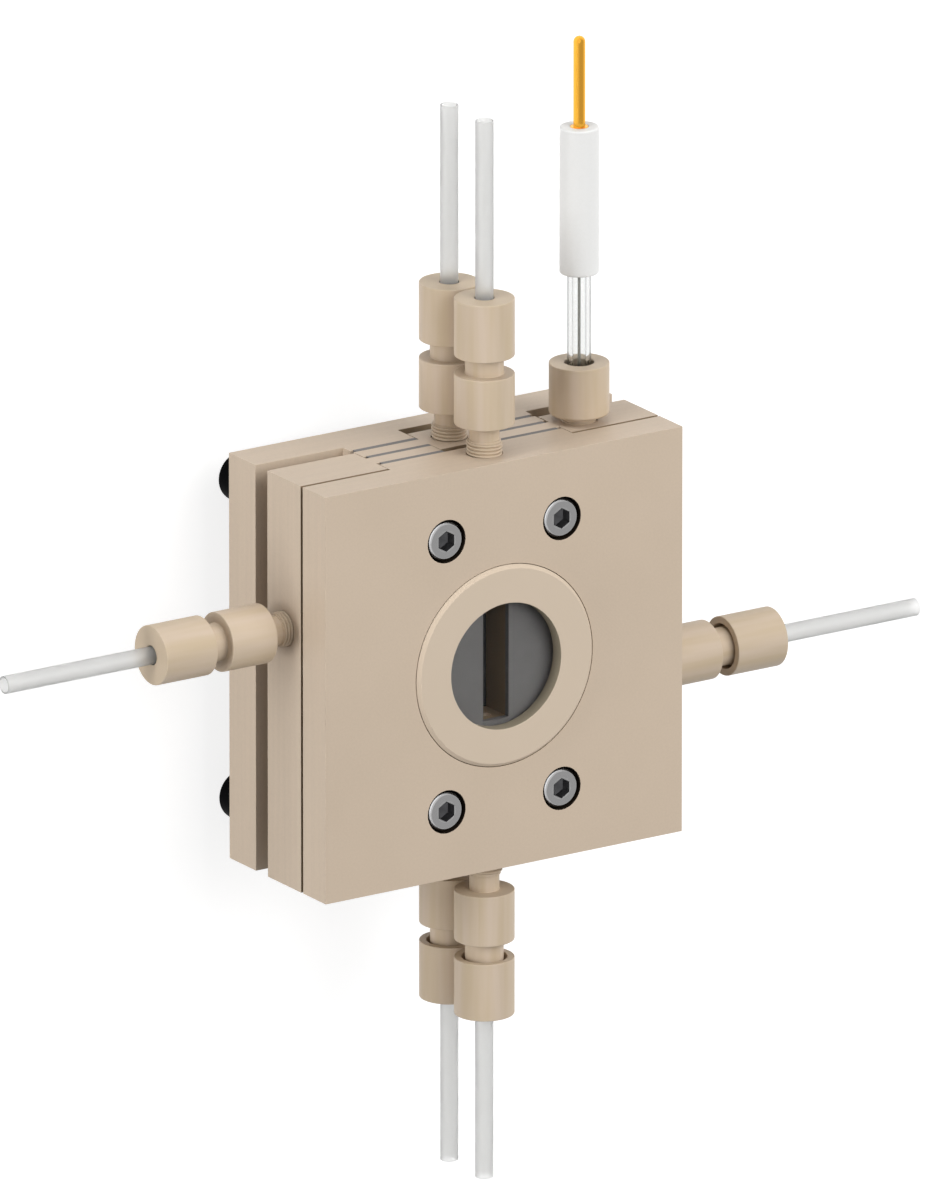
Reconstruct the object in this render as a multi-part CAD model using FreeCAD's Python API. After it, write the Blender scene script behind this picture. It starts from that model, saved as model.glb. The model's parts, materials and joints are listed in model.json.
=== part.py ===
import FreeCAD, Part
import math
import os

# A window flow cell for gas diffusion electrolysis, in millimetres.
# A front plate with a glass window, a middle plate of H section, a loose insert plate and a back plate
# are stacked with three rubber gaskets. Six tube fittings feed three chambers, and a reference
# electrode goes in through a nut of its own.
#
# Origin: the window's centre, in the plane of the front face. +Z points out of the window, +Y to the
# reference electrode's side, called the top, and +X to the right seen from the front.
# The cell lies on the four knobs at its back.

# Plates, seen from the front
plate_side = 70.0
recess_width = 36.0          # channel across the middle plate, front and back
boss_clearance = 0.1         # each side, between a boss and the recess
insert_clearance = 0.2       # each side, between the insert plate and the recess
gasket_clearance = 0.8       # each side, between a gasket and the recess

# Thicknesses, from the front to the back
front_base = 6.8
front_boss = 3.2
gasket_thickness = 1.0
web_thickness = 3.0
insert_thickness = 3.0
back_boss = 2.0
back_base = 8.0
flange_thickness = 10.0
flange_gap = 0.6             # between the front plate and the middle plate's flanges

# Chambers: one slot behind the other, with an area of one square centimetre each
slot_width = 5.0
slot_length = 20.0
channel_radius = 0.8
capillary_radius = 0.6       # from the reference electrode to the right port's channel
channel_inset = 0.8          # from a chamber's end to the axis of a channel from the side

# Thin sheets between the chambers, each in a shallow pocket round its slot
sheet_margin = 2.0
sheet_clearance = 0.1
electrode_thickness = 0.3
membrane_thickness = 0.2

# Window
window_radius = 10.8
ring_radius = 17.3
ring_thickness = 2.5
ring_proud = 0.6
ring_chamfer = 0.6
glass_thickness = 1.0
window_gasket_thickness = 1.0
disc_clearance = 0.4         # between the loose discs and the wall of their seat

# Running clearances
thread_clearance = 0.05      # radial, a thread's crest in its hole
running_gap = 0.05           # between faces that turn or slide on each other

# Port blocks on the insert plate
block_side = 10.0
notch_clearance = 0.15       # round a block, in the web, the gaskets and the back plate
block_pocket_gap = 2.5       # behind a block, in the back plate

# Front screws, M4 socket head, through the stack into the insert plate
screw_spacing_x = 22.6
screw_spacing_y = 46.6
screw_radius = 2.0
screw_hole_clearance = 0.2
screw_tip_past_insert = 0.3
head_radius = 3.3            # measured, a standard head may be up to 3.5
head_height = 4.0
head_recess = 0.05
head_chamfer = 0.4
counterbore_clearance = 0.4
hex_across_flats = 3.0
hex_depth = 2.0

# Clamping screws at the back, M4 studs in knobs
clamp_inset = 7.5            # from the plates' edges to a screw's axis
clamp_radius = 2.0
clamp_engagement = 6.3
knob_radius = 4.2
knob_length = 8.4
knob_chamfer = 0.4
stud_in_knob = 6.0
drill_allowance = 0.5        # a blind hole goes this much further than what is in it
drill_point_angle = 118.0    # degrees
overcut = 1.0                # how far a cutting shape goes past the piece that it cuts

# Tube fittings: heights are above the plate's edge, or for the side fittings, above a level
# just inside it
port_radius = 3.0            # M6
port_depth = 7.0
exposed_thread = 2.5
stub_chamfer = 0.5
neck_radius = 2.5
collar_start = 5.2
collar_length = 8.6
collar_radius = 5.0
edge_chamfer = 0.2
spigot_radius = 3.3
spigot_length = 8.3
spigot_relief = 4.0          # unthreaded length next to the collar
relief_radius = 3.2
seat_radius = 2.6
seat_depth = 1.6
seat_gap = 0.1
socket_clearance = 0.05
socket_floor = 10.0
nut_start = 16.9
nut_length = 9.8
nut_radius = 5.0
nut_mouth_radius = 3.8
nut_mouth_depth = 2.0
nut_tube_clearance = 0.12
ferrule_land = 0.6

# Tubes: how far each free end is from the level that its fitting is measured from
tube_radius = 1.5
tube_bore_radius = 1.25
long_tube_reach = 57.0
short_tube_reach = 55.2
side_sink = 0.75             # the side fittings are screwed in this much further
front_port_level = -6.0      # axis of the top and bottom front ports
side_port_level = -12.4      # axis of the side ports and the reference electrode

# Reference electrode: heights are above the top face
reference_inset = 12.2       # from the right edge to its axis
reference_nut_radius = 5.0
reference_nut_start = 1.2
reference_nut_top = 10.0
reference_nut_chamfer = 0.3
reference_thread_radius = 3.0  # M6
reference_thread_depth = 3.6
reference_mouth_radius = 2.45
reference_mouth_depth = 8.0
glass_radius = 2.0
glass_bore = 1.15
glass_depth = 37.0
glass_top = 30.0
electrode_bore_clearance = 0.1
inner_fit = 0.02             # pieces joined inside the electrode
frit_length = 3.0
wire_radius = 0.25
wire_gap = 0.5               # between the wire's end and the frit
sleeve_radius = 3.25
sleeve_start = 25.4
sleeve_top = 50.5
sleeve_chamfer = 0.3
pin_radius = 1.0
pin_top = 66.0
pin_stem_radius = 0.8
pin_stem_length = 8.0
pin_flange_radius = 1.5
pin_flange_height = 0.4
seal_radius = 0.45           # section of the rubber ring under the nut

# Levels along Z that follow from the thicknesses
half_side = plate_side / 2
front_base_back = -front_base
front_boss_back = front_base_back - front_boss
web_front = front_boss_back - gasket_thickness
web_back = web_front - web_thickness
insert_front = web_back - gasket_thickness
insert_back = insert_front - insert_thickness
back_boss_front = insert_back - gasket_thickness
back_base_front = back_boss_front - back_boss
back_face = back_base_front - back_base
flange_front = front_base_back - flange_gap
flange_back = flange_front - flange_thickness

# Places that several pieces share
insert_mid = (insert_front + insert_back) / 2
block_front = insert_mid + block_side / 2
block_back = insert_mid - block_side / 2
block_inner_end = half_side - block_side
slot_end = slot_length / 2
side_channel_y = slot_end - channel_inset
ring_depth = ring_thickness - ring_proud
glass_back = -ring_depth - glass_thickness
window_seat = glass_back - window_gasket_thickness
screw_places = [
    (side * screw_spacing_x / 2, end * screw_spacing_y / 2) for side in (-1, 1) for end in (-1, 1)
]
clamp_reach = half_side - clamp_inset
clamp_places = {
    "top_left": (-clamp_reach, clamp_reach),
    "top_right": (clamp_reach, clamp_reach),
    "bottom_left": (-clamp_reach, -clamp_reach),
    "bottom_right": (clamp_reach, -clamp_reach),
}

UP = FreeCAD.Vector(0, 1, 0)
DOWN = FreeCAD.Vector(0, -1, 0)
LEFT = FreeCAD.Vector(-1, 0, 0)
RIGHT = FreeCAD.Vector(1, 0, 0)

# Each port: the point that its fitting is measured from, the way out, and the tube's reach
side_start = half_side - side_sink
ports = {
    "top_front": ((0, half_side, front_port_level), UP, long_tube_reach),
    "top_rear": ((0, half_side, insert_mid), UP, long_tube_reach),
    "bottom_front": ((0, -half_side, front_port_level), DOWN, short_tube_reach),
    "bottom_rear": ((0, -half_side, insert_mid), DOWN, short_tube_reach),
    "left": ((-side_start, side_channel_y, side_port_level), LEFT, short_tube_reach),
    "right": ((side_start, -side_channel_y, side_port_level), RIGHT, short_tube_reach),
}
reference_place = (half_side - reference_inset, half_side, side_port_level)


def block(width, height, low, high, x=0.0, y=0.0):
    """A box centred on x, y, between two levels."""
    corner = FreeCAD.Vector(x - width / 2, y - height / 2, low)
    return Part.makeBox(width, height, high - low, corner)


def rod(radius, low, high, x=0.0, y=0.0):
    """A cylinder along Z between two levels."""
    return Part.makeCylinder(radius, high - low, FreeCAD.Vector(x, y, low))


def turned(outline):
    """A solid turned about Z from points given as (radius, height)."""
    points = [FreeCAD.Vector(radius, 0, height) for radius, height in outline]
    face = Part.Face(Part.makePolygon(points + points[:1]))
    return face.revolve(FreeCAD.Vector(0, 0, 0), FreeCAD.Vector(0, 0, 1), 360)


def placed(shape, point, way_out):
    """The shape with its Z axis turned to way_out and its origin moved to point."""
    copy = shape.copy()
    turn = FreeCAD.Rotation(FreeCAD.Vector(0, 0, 1), way_out)
    copy.Placement = FreeCAD.Placement(FreeCAD.Vector(*point), turn)
    return copy


def drilled(radius, depth, mouth=overcut):
    """The space of a blind hole with a drill point, from mouth above the face to depth below it."""
    point = radius / math.tan(math.radians(drill_point_angle / 2))
    return turned([(0, mouth), (radius, mouth), (radius, -depth), (0, -depth - point)])


def save(name, shape):
    """Write one piece, cleaned of split faces."""
    shape.removeSplitter().exportStep(f"parts/{name}.step")


# Chambers, screw holes and notches that cut through several pieces

def chamber(low, high):
    return block(slot_width, slot_length, low, high)


def screw_holes(radius, low, high):
    return [rod(radius, low, high, x, y) for x, y in screw_places]


def block_notches(low, high):
    """Room for the two port blocks, open at the top and bottom edges."""
    length = block_side + notch_clearance
    reach = half_side - length / 2
    width = block_side + 2 * notch_clearance
    return [
        block(width, length + overcut, low, high, y=end * (reach + overcut / 2)) for end in (-1, 1)
    ]


def port_cuts(names, channel_end):
    """Threaded hole and feed channel of each named port, as far as the chamber."""
    cuts = []
    for name in names:
        point, way_out, _ = ports[name]
        hole = drilled(port_radius + thread_clearance, port_depth + drill_allowance, overcut + side_sink)
        channel = rod(channel_radius, channel_end - way_out.dot(FreeCAD.Vector(*point)), -port_depth)
        cuts.append(placed(hole, point, way_out))
        cuts.append(placed(channel, point, way_out))
    return cuts


def sheet_pocket(low, high):
    width = slot_width + 2 * sheet_margin
    height = slot_length + 2 * sheet_margin
    return block(width, height, low, high)


def thin_sheet(low, high):
    """An electrode or membrane sheet that lies in a sheet pocket."""
    width = slot_width + 2 * sheet_margin - 2 * sheet_clearance
    height = slot_length + 2 * sheet_margin - 2 * sheet_clearance
    return block(width, height, low, high)


# Plates

def front_plate():
    """Square plate with a boss on its back, the window's stepped seat and four counterbores."""
    plate = block(plate_side, plate_side, front_base_back, 0)
    boss_width = recess_width - 2 * boss_clearance
    plate = plate.fuse(block(boss_width, plate_side, front_boss_back, front_base_back))
    cuts = [rod(ring_radius + thread_clearance, window_seat, overcut)]
    cuts += [chamber(front_boss_back - overcut, window_seat + overcut)]
    cuts += [sheet_pocket(front_boss_back - overcut, front_boss_back + electrode_thickness)]
    cuts += screw_holes(screw_radius + screw_hole_clearance, front_boss_back - overcut, overcut)
    cuts += screw_holes(head_radius + counterbore_clearance, -head_recess - head_height, overcut)
    cuts += port_cuts(["top_front", "bottom_front"], slot_end - channel_radius)
    return plate.cut(cuts)


def middle_plate():
    """H section: two thick flanges joined by a web, which holds the middle chamber."""
    plate = block(plate_side, plate_side, flange_back, flange_front)
    tall = plate_side + 2 * overcut
    cuts = [block(recess_width, tall, web_front, flange_front + overcut)]
    cuts += [block(recess_width, tall, flange_back - overcut, web_back)]
    cuts += [chamber(web_back - overcut, web_front + overcut)]
    cuts += [sheet_pocket(web_back - overcut, web_back + membrane_thickness)]
    cuts += block_notches(web_back - overcut, web_front + overcut)
    cuts += screw_holes(screw_radius + screw_hole_clearance, web_back - overcut, web_front + overcut)
    cuts += port_cuts(["left", "right"], slot_width / 2 - channel_radius)
    cuts += [clamp_hole(x, y) for x, y in clamp_places.values()]
    cuts += reference_cuts()
    return plate.cut(cuts)


def clamp_hole(x, y):
    hole = drilled(clamp_radius + thread_clearance, clamp_engagement + drill_allowance)
    return placed(hole, (x, y, flange_back), FreeCAD.Vector(0, 0, -1))


def reference_cuts():
    """The electrode's stepped bore, and the capillary from its end to the right port's channel."""
    seal_floor = reference_thread_depth + 2 * seal_radius + running_gap
    thread = rod(reference_thread_radius + thread_clearance, -seal_floor, overcut)
    bore = drilled(glass_radius + electrode_bore_clearance, glass_depth + 2 * drill_allowance)
    capillary = rod(capillary_radius, -half_side - side_channel_y, -glass_depth)
    return [placed(cut, reference_place, UP) for cut in (thread, bore, capillary)]


def insert_plate():
    """Thin plate in the back recess, with a port block at its top and bottom edge."""
    width = recess_width - 2 * insert_clearance
    plate = block(width, plate_side, insert_back, insert_front)
    for end in (-1, 1):
        centre_y = end * (block_inner_end + block_side / 2)
        plate = plate.fuse(block(block_side, block_side, block_back, block_front, y=centre_y))
    cuts = [chamber(insert_back - overcut, insert_front + overcut)]
    cuts += screw_holes(screw_radius + thread_clearance, insert_back - overcut, insert_front + overcut)
    cuts += port_cuts(["top_rear", "bottom_rear"], slot_end - channel_radius)
    return plate.cut(cuts)


def back_plate():
    """Square plate with a low boss on its front, notched for the port blocks."""
    plate = block(plate_side, plate_side, back_face, back_base_front)
    boss_width = recess_width - 2 * boss_clearance
    plate = plate.fuse(block(boss_width, plate_side, back_base_front, back_boss_front))
    cuts = block_notches(block_back - block_pocket_gap, back_boss_front + overcut)
    cuts += [sheet_pocket(back_boss_front - electrode_thickness, back_boss_front + overcut)]
    hole_radius = clamp_radius + screw_hole_clearance
    cuts += [rod(hole_radius, back_face - overcut, back_base_front + overcut, x, y)
             for x, y in clamp_places.values()]
    return plate.cut(cuts)


def gasket(front):
    """Rubber sheet with a chamber, four screw holes and the block notches cut out."""
    back = front - gasket_thickness
    sheet = block(recess_width - 2 * gasket_clearance, plate_side, back, front)
    cuts = [chamber(back - overcut, front + overcut)]
    cuts += screw_holes(screw_radius + screw_hole_clearance, back - overcut, front + overcut)
    cuts += block_notches(back - overcut, front + overcut)
    return sheet.cut(cuts)


# Window

def window_ring():
    """Threaded ring that holds the glass down, chamfered where it stands out of the plate."""
    return turned([
        (window_radius, -ring_depth),
        (ring_radius, -ring_depth),
        (ring_radius, ring_proud - ring_chamfer),
        (ring_radius - ring_chamfer, ring_proud),
        (window_radius, ring_proud),
    ])


def window_glass():
    return rod(ring_radius - disc_clearance, glass_back, -ring_depth - running_gap)


def window_gasket():
    disc = rod(ring_radius - disc_clearance, window_seat, glass_back)
    return disc.cut(chamber(window_seat - overcut, glass_back + overcut))


# Fasteners

def front_screw(x, y):
    """M4 socket head screw, its head level with the front face."""
    top = -head_recess
    seat = top - head_height
    tip = insert_back - screw_tip_past_insert
    body = turned([
        (0, top), (head_radius - head_chamfer, top), (head_radius, top - head_chamfer),
        (head_radius, seat), (screw_radius, seat),
        (screw_radius, tip + screw_tip_past_insert), (screw_radius - screw_tip_past_insert, tip), (0, tip),
    ])
    corner_radius = hex_across_flats / math.sqrt(3)
    corners = []
    for step in range(7):
        angle = math.radians(90 + 60 * step)
        corners.append(FreeCAD.Vector(corner_radius * math.cos(angle), corner_radius * math.sin(angle),
                                      top - hex_depth))
    socket = Part.Face(Part.makePolygon(corners)).extrude(FreeCAD.Vector(0, 0, 2 * hex_depth))
    screw = body.cut(socket)
    screw.translate(FreeCAD.Vector(x, y, 0))
    return screw


def clamp_knob(x, y):
    """Round plastic knob, moulded on its stud. The cell rests on its end."""
    seat = back_face - running_gap
    end = back_face - knob_length
    stud_end = back_face - stud_in_knob
    knob = turned([
        (clamp_radius, seat), (knob_radius - knob_chamfer, seat), (knob_radius, seat - knob_chamfer),
        (knob_radius, end + knob_chamfer), (knob_radius - knob_chamfer, end), (0, end),
        (0, stud_end), (clamp_radius, stud_end),
    ])
    knob.translate(FreeCAD.Vector(x, y, 0))
    return knob


def clamp_stud(x, y):
    """Steel stud, through the back plate and into the middle plate's flange."""
    tip = flange_back + clamp_engagement
    bevel = clamp_radius / 4
    stud = turned([
        (0, back_face - stud_in_knob), (clamp_radius, back_face - stud_in_knob),
        (clamp_radius, tip - bevel), (clamp_radius - bevel, tip), (0, tip),
    ])
    stud.translate(FreeCAD.Vector(x, y, 0))
    return stud


# Tube fittings, each along its own Z axis from the level that it is measured from

collar_end = collar_start + collar_length
spigot_end = collar_end + spigot_length
socket_radius = tube_radius + socket_clearance
ferrule_end = spigot_end + seat_gap + ferrule_land
nut_end = nut_start + nut_length


def adapter():
    """One turned piece: threaded stub, neck, collar, and a threaded spigot with a cone seat in its end."""
    return turned([
        (channel_radius, -port_depth),
        (port_radius - stub_chamfer, -port_depth),
        (port_radius, stub_chamfer - port_depth),
        (port_radius, exposed_thread),
        (neck_radius, exposed_thread),
        (neck_radius, collar_start),
        (collar_radius - edge_chamfer, collar_start),
        (collar_radius, collar_start + edge_chamfer),
        (collar_radius, collar_end - edge_chamfer),
        (collar_radius - edge_chamfer, collar_end),
        (relief_radius, collar_end),
        (relief_radius, collar_end + spigot_relief),
        (spigot_radius, collar_end + spigot_relief),
        (spigot_radius, spigot_end),
        (seat_radius, spigot_end),
        (socket_radius, spigot_end - seat_depth),
        (socket_radius, socket_floor),
        (channel_radius, socket_floor),
    ])


def cap_nut():
    """Nut with a wide mouth, a thread and a shoulder that presses on the ferrule."""
    thread_radius = spigot_radius + thread_clearance
    shoulder = ferrule_end + running_gap
    hole_radius = tube_radius + nut_tube_clearance
    return turned([
        (nut_mouth_radius, nut_start),
        (nut_radius - edge_chamfer, nut_start),
        (nut_radius, nut_start + edge_chamfer),
        (nut_radius, nut_end - edge_chamfer),
        (nut_radius - edge_chamfer, nut_end),
        (hole_radius, nut_end),
        (hole_radius, shoulder),
        (thread_radius, shoulder),
        (thread_radius, nut_start + nut_mouth_depth),
        (nut_mouth_radius, nut_start + nut_mouth_depth),
    ])


def ferrule():
    """Small cone that grips the tube and seals in the adapter's seat."""
    return turned([
        (tube_radius, spigot_end - seat_depth + seat_gap),
        (socket_radius, spigot_end - seat_depth + seat_gap),
        (seat_radius, spigot_end + seat_gap),
        (seat_radius, ferrule_end),
        (tube_radius, ferrule_end),
    ])


def tube(reach):
    """Straight length of tube with cut ends, from the adapter's socket."""
    start = socket_floor + running_gap
    bore = rod(tube_bore_radius, start - overcut, reach + overcut)
    return rod(tube_radius, start, reach).cut(bore)


# Reference electrode, along its own Z axis from the top face

def reference_nut():
    """Round nut over a threaded stub. Its hole guides the glass, and is wider at the top."""
    guide_radius = glass_radius + electrode_bore_clearance
    return turned([
        (guide_radius, -reference_thread_depth),
        (reference_thread_radius, -reference_thread_depth),
        (reference_thread_radius, reference_nut_start),
        (reference_nut_radius - reference_nut_chamfer, reference_nut_start),
        (reference_nut_radius, reference_nut_start + reference_nut_chamfer),
        (reference_nut_radius, reference_nut_top - edge_chamfer),
        (reference_nut_radius - edge_chamfer, reference_nut_top),
        (reference_mouth_radius, reference_nut_top),
        (reference_mouth_radius, reference_nut_top - reference_mouth_depth),
        (guide_radius, reference_nut_top - reference_mouth_depth),
    ])


def reference_seal():
    """Rubber ring round the glass, under the nut's thread."""
    centre_height = -reference_thread_depth - seal_radius - running_gap
    ring_centre = glass_radius + running_gap + seal_radius
    return Part.makeTorus(ring_centre, seal_radius, FreeCAD.Vector(0, 0, centre_height))


def electrode_glass():
    tube_wall = rod(glass_radius, -glass_depth, glass_top)
    return tube_wall.cut(rod(glass_bore, -glass_depth - overcut, glass_top + overcut))


def electrode_frit():
    """Porous plug in the end of the glass."""
    return rod(glass_bore - inner_fit, -glass_depth, frit_length - glass_depth)


def electrode_wire():
    start = frit_length + wire_gap - glass_depth
    return rod(wire_radius, start, sleeve_top - pin_flange_height - pin_stem_length)


def electrode_sleeve():
    """Plastic handle glued over the glass, stepped inside for the glass and the pin."""
    flange_seat = sleeve_top - pin_flange_height
    glass_seat = glass_radius + inner_fit
    return turned([
        (glass_seat, sleeve_start),
        (sleeve_radius - sleeve_chamfer, sleeve_start),
        (sleeve_radius, sleeve_start + sleeve_chamfer),
        (sleeve_radius, sleeve_top - sleeve_chamfer),
        (sleeve_radius - sleeve_chamfer, sleeve_top),
        (pin_flange_radius + inner_fit, sleeve_top),
        (pin_flange_radius + inner_fit, flange_seat),
        (pin_stem_radius + inner_fit, flange_seat),
        (pin_stem_radius + inner_fit, glass_top),
        (glass_seat, glass_top),
    ])


def electrode_pin():
    """Gold contact pin with a round tip, a flange flush with the handle's end and a thinner stem."""
    flange_bottom = sleeve_top - pin_flange_height
    stem = rod(pin_stem_radius, flange_bottom - pin_stem_length, flange_bottom)
    flange = rod(pin_flange_radius, flange_bottom, sleeve_top)
    contact = rod(pin_radius, sleeve_top, pin_top - pin_radius)
    tip = Part.makeSphere(pin_radius, FreeCAD.Vector(0, 0, pin_top - pin_radius))
    return stem.fuse([flange, contact, tip])


# Write every piece

os.makedirs("parts", exist_ok=True)

save("front_plate", front_plate())
save("middle_plate", middle_plate())
save("insert_plate", insert_plate())
save("back_plate", back_plate())
save("front_gasket", gasket(front_boss_back))
save("middle_gasket", gasket(web_back))
save("rear_gasket", gasket(insert_back))
save("gas_diffusion_electrode", thin_sheet(front_boss_back, front_boss_back + electrode_thickness))
save("membrane", thin_sheet(web_back, web_back + membrane_thickness))
save("counter_electrode", thin_sheet(back_boss_front - electrode_thickness, back_boss_front))

save("window_ring", window_ring())
save("window_glass", window_glass())
save("window_gasket", window_gasket())

save("front_screws", Part.makeCompound([front_screw(x, y) for x, y in screw_places]))
for corner, (x, y) in clamp_places.items():
    save(f"clamp_knob_{corner}", clamp_knob(x, y))
    save(f"clamp_stud_{corner}", clamp_stud(x, y))

for name, (point, way_out, reach) in ports.items():
    save(f"adapter_{name}", placed(adapter(), point, way_out))
    save(f"cap_nut_{name}", placed(cap_nut(), point, way_out))
    save(f"ferrule_{name}", placed(ferrule(), point, way_out))
    save(f"tube_{name}", placed(tube(reach), point, way_out))

reference_pieces = {
    "reference_nut": reference_nut(),
    "reference_seal": reference_seal(),
    "electrode_glass": electrode_glass(),
    "electrode_frit": electrode_frit(),
    "electrode_wire": electrode_wire(),
    "electrode_sleeve": electrode_sleeve(),
    "electrode_pin": electrode_pin(),
}
for name, shape in reference_pieces.items():
    save(name, placed(shape, reference_place, UP))
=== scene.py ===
import json
import math

import bmesh
import bpy
from mathutils import Matrix, Vector


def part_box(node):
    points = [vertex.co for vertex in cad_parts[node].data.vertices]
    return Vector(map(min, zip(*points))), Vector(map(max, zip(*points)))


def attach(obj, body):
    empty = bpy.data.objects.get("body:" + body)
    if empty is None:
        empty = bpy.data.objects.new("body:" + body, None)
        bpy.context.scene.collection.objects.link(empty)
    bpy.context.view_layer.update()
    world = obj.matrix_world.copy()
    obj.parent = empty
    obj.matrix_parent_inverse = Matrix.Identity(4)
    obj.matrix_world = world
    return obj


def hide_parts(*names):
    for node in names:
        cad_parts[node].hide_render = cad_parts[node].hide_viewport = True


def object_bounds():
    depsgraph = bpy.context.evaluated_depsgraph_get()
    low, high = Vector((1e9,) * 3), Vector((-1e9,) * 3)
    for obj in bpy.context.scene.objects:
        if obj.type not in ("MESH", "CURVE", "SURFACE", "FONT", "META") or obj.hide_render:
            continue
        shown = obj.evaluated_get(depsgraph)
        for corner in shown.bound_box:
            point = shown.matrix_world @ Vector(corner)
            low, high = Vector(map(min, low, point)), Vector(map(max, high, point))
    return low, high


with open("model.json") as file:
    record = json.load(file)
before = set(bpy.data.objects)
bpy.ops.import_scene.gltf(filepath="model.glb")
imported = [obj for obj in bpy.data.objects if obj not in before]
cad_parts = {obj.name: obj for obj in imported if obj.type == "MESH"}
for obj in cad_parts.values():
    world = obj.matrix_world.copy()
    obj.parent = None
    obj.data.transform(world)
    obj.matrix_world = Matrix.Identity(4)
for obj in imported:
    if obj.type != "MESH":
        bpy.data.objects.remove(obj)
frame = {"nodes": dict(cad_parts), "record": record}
cad_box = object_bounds()
nodes = frame["nodes"]
scene = bpy.context.scene
scene.view_settings.view_transform = "Standard"
MM = 0.001


# Studio
# The cell lies on its back on a plain white floor, under soft daylight and three wide, weak lamps.
# The camera looks down on it through a long lens, turned so that the tubes stand upright in the frame.

CAMERA_TARGET = Vector((1.78, 7.0, -14.5)) * MM
CAMERA_RIGHT = Vector((0.83643, 0.0, 0.54808))
CAMERA_UP = Vector((0.1691, 0.9512, -0.2581))
FRAME_HEIGHT = 197.13 * MM
SENSOR = 36.0
LENS = 1200.0

camera_back = CAMERA_RIGHT.cross(CAMERA_UP).normalized()
camera_side = CAMERA_RIGHT.normalized()
camera_top = camera_back.cross(camera_side)
camera_data = bpy.data.cameras.new("long_lens")
camera_data.lens = LENS
camera_data.sensor_width = SENSOR
camera_distance = FRAME_HEIGHT * LENS / SENSOR
camera_data.clip_start = camera_distance / 10
camera_data.clip_end = camera_distance * 3
camera = bpy.data.objects.new("camera", camera_data)
turned_axes = Matrix((camera_side, camera_top, camera_back)).transposed().to_4x4()
camera.matrix_world = Matrix.Translation(CAMERA_TARGET + camera_back * camera_distance) @ turned_axes
scene.collection.objects.link(camera)
scene.camera = camera


def linear(hex_colour):
    """An sRGB hex colour as linear red, green, blue and alpha."""
    channels = [int(hex_colour[start:start + 2], 16) / 255 for start in (0, 2, 4)]
    return (*[c / 12.92 if c <= 0.04045 else ((c + 0.055) / 1.055) ** 2.4 for c in channels], 1.0)


def add(tree, kind, links=None, **settings):
    """Add a node to a tree. Links gives each input, by name or number, its value, socket or node.

    A node stands for its first output.
    """
    node = tree.nodes.new(kind)
    for setting, value in settings.items():
        setattr(node, setting, value)
    for key, value in (links or {}).items():
        if isinstance(value, bpy.types.Node):
            value = value.outputs[0]
        if isinstance(value, bpy.types.NodeSocket):
            tree.links.new(value, node.inputs[key])
        else:
            node.inputs[key].default_value = value
    return node


def new_material(name):
    """A new material and its node tree, which is empty."""
    material = bpy.data.materials.new(name)
    material.use_nodes = True
    material.node_tree.nodes.clear()
    return material, material.node_tree


def seen_white(tree):
    """1 for rays that see the backdrop straight, in a reflection or through glass, otherwise 0."""
    ray = add(tree, "ShaderNodeLightPath").outputs
    glossy = add(tree, "ShaderNodeMath", {0: ray["Is Camera Ray"], 1: ray["Is Glossy Ray"]},
                 operation="MAXIMUM")
    either = add(tree, "ShaderNodeMath", {0: glossy, 1: ray["Is Transmission Ray"]}, operation="MAXIMUM")
    straight = add(tree, "ShaderNodeMath", {0: ray["Diffuse Depth"], 1: 0.5}, operation="LESS_THAN")
    return add(tree, "ShaderNodeMath", {0: either, 1: straight}, operation="MULTIPLY")


# Daylight: white where it is seen, weaker where it lights. Metal and glass see a white horizon, a dimmer
# room above it, from one height of the look to another, and one soft bright panel high at the left that
# gives the steel its thin highlights. The panel's rim lies between two cosines of the angle to its middle.
DAYLIGHT = 0.25
ROOM = 0.55
ROOM_STARTS, ROOM_IS_FULL = 0.4, 0.75
PANEL_WAY = (-0.66, 0.45, 0.6)
PANEL_STARTS, PANEL_IS_FULL = 0.66, 0.76
world = bpy.data.worlds.new("daylight")
scene.world = world
world.use_nodes = True
tree = world.node_tree
tree.nodes.clear()
lighting = add(tree, "ShaderNodeBackground", {"Color": linear("FFFFFF"), "Strength": DAYLIGHT})
looking = add(tree, "ShaderNodeTexCoord").outputs["Generated"]
heights = add(tree, "ShaderNodeSeparateXYZ", {0: looking})
room = add(tree, "ShaderNodeMapRange", {"Value": heights.outputs["Z"], "From Min": ROOM_STARTS,
                                        "From Max": ROOM_IS_FULL, "To Min": 1.0, "To Max": ROOM})
nearness = add(tree, "ShaderNodeVectorMath", {0: looking, 1: PANEL_WAY}, operation="DOT_PRODUCT")
panel = add(tree, "ShaderNodeMapRange", {"Value": nearness.outputs["Value"], "From Min": PANEL_STARTS,
                                         "From Max": PANEL_IS_FULL})
lit_room = add(tree, "ShaderNodeMath", {0: room, 1: panel}, operation="MAXIMUM")
ray = add(tree, "ShaderNodeLightPath").outputs
strength = add(tree, "ShaderNodeMath", {0: lit_room, 1: ray["Is Camera Ray"]}, operation="MAXIMUM")
shown = add(tree, "ShaderNodeBackground", {"Color": linear("FFFFFF"), "Strength": strength})
mixed = add(tree, "ShaderNodeMixShader", {0: seen_white(tree), 1: lighting, 2: shown})
add(tree, "ShaderNodeOutputWorld", {0: mixed})

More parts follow.
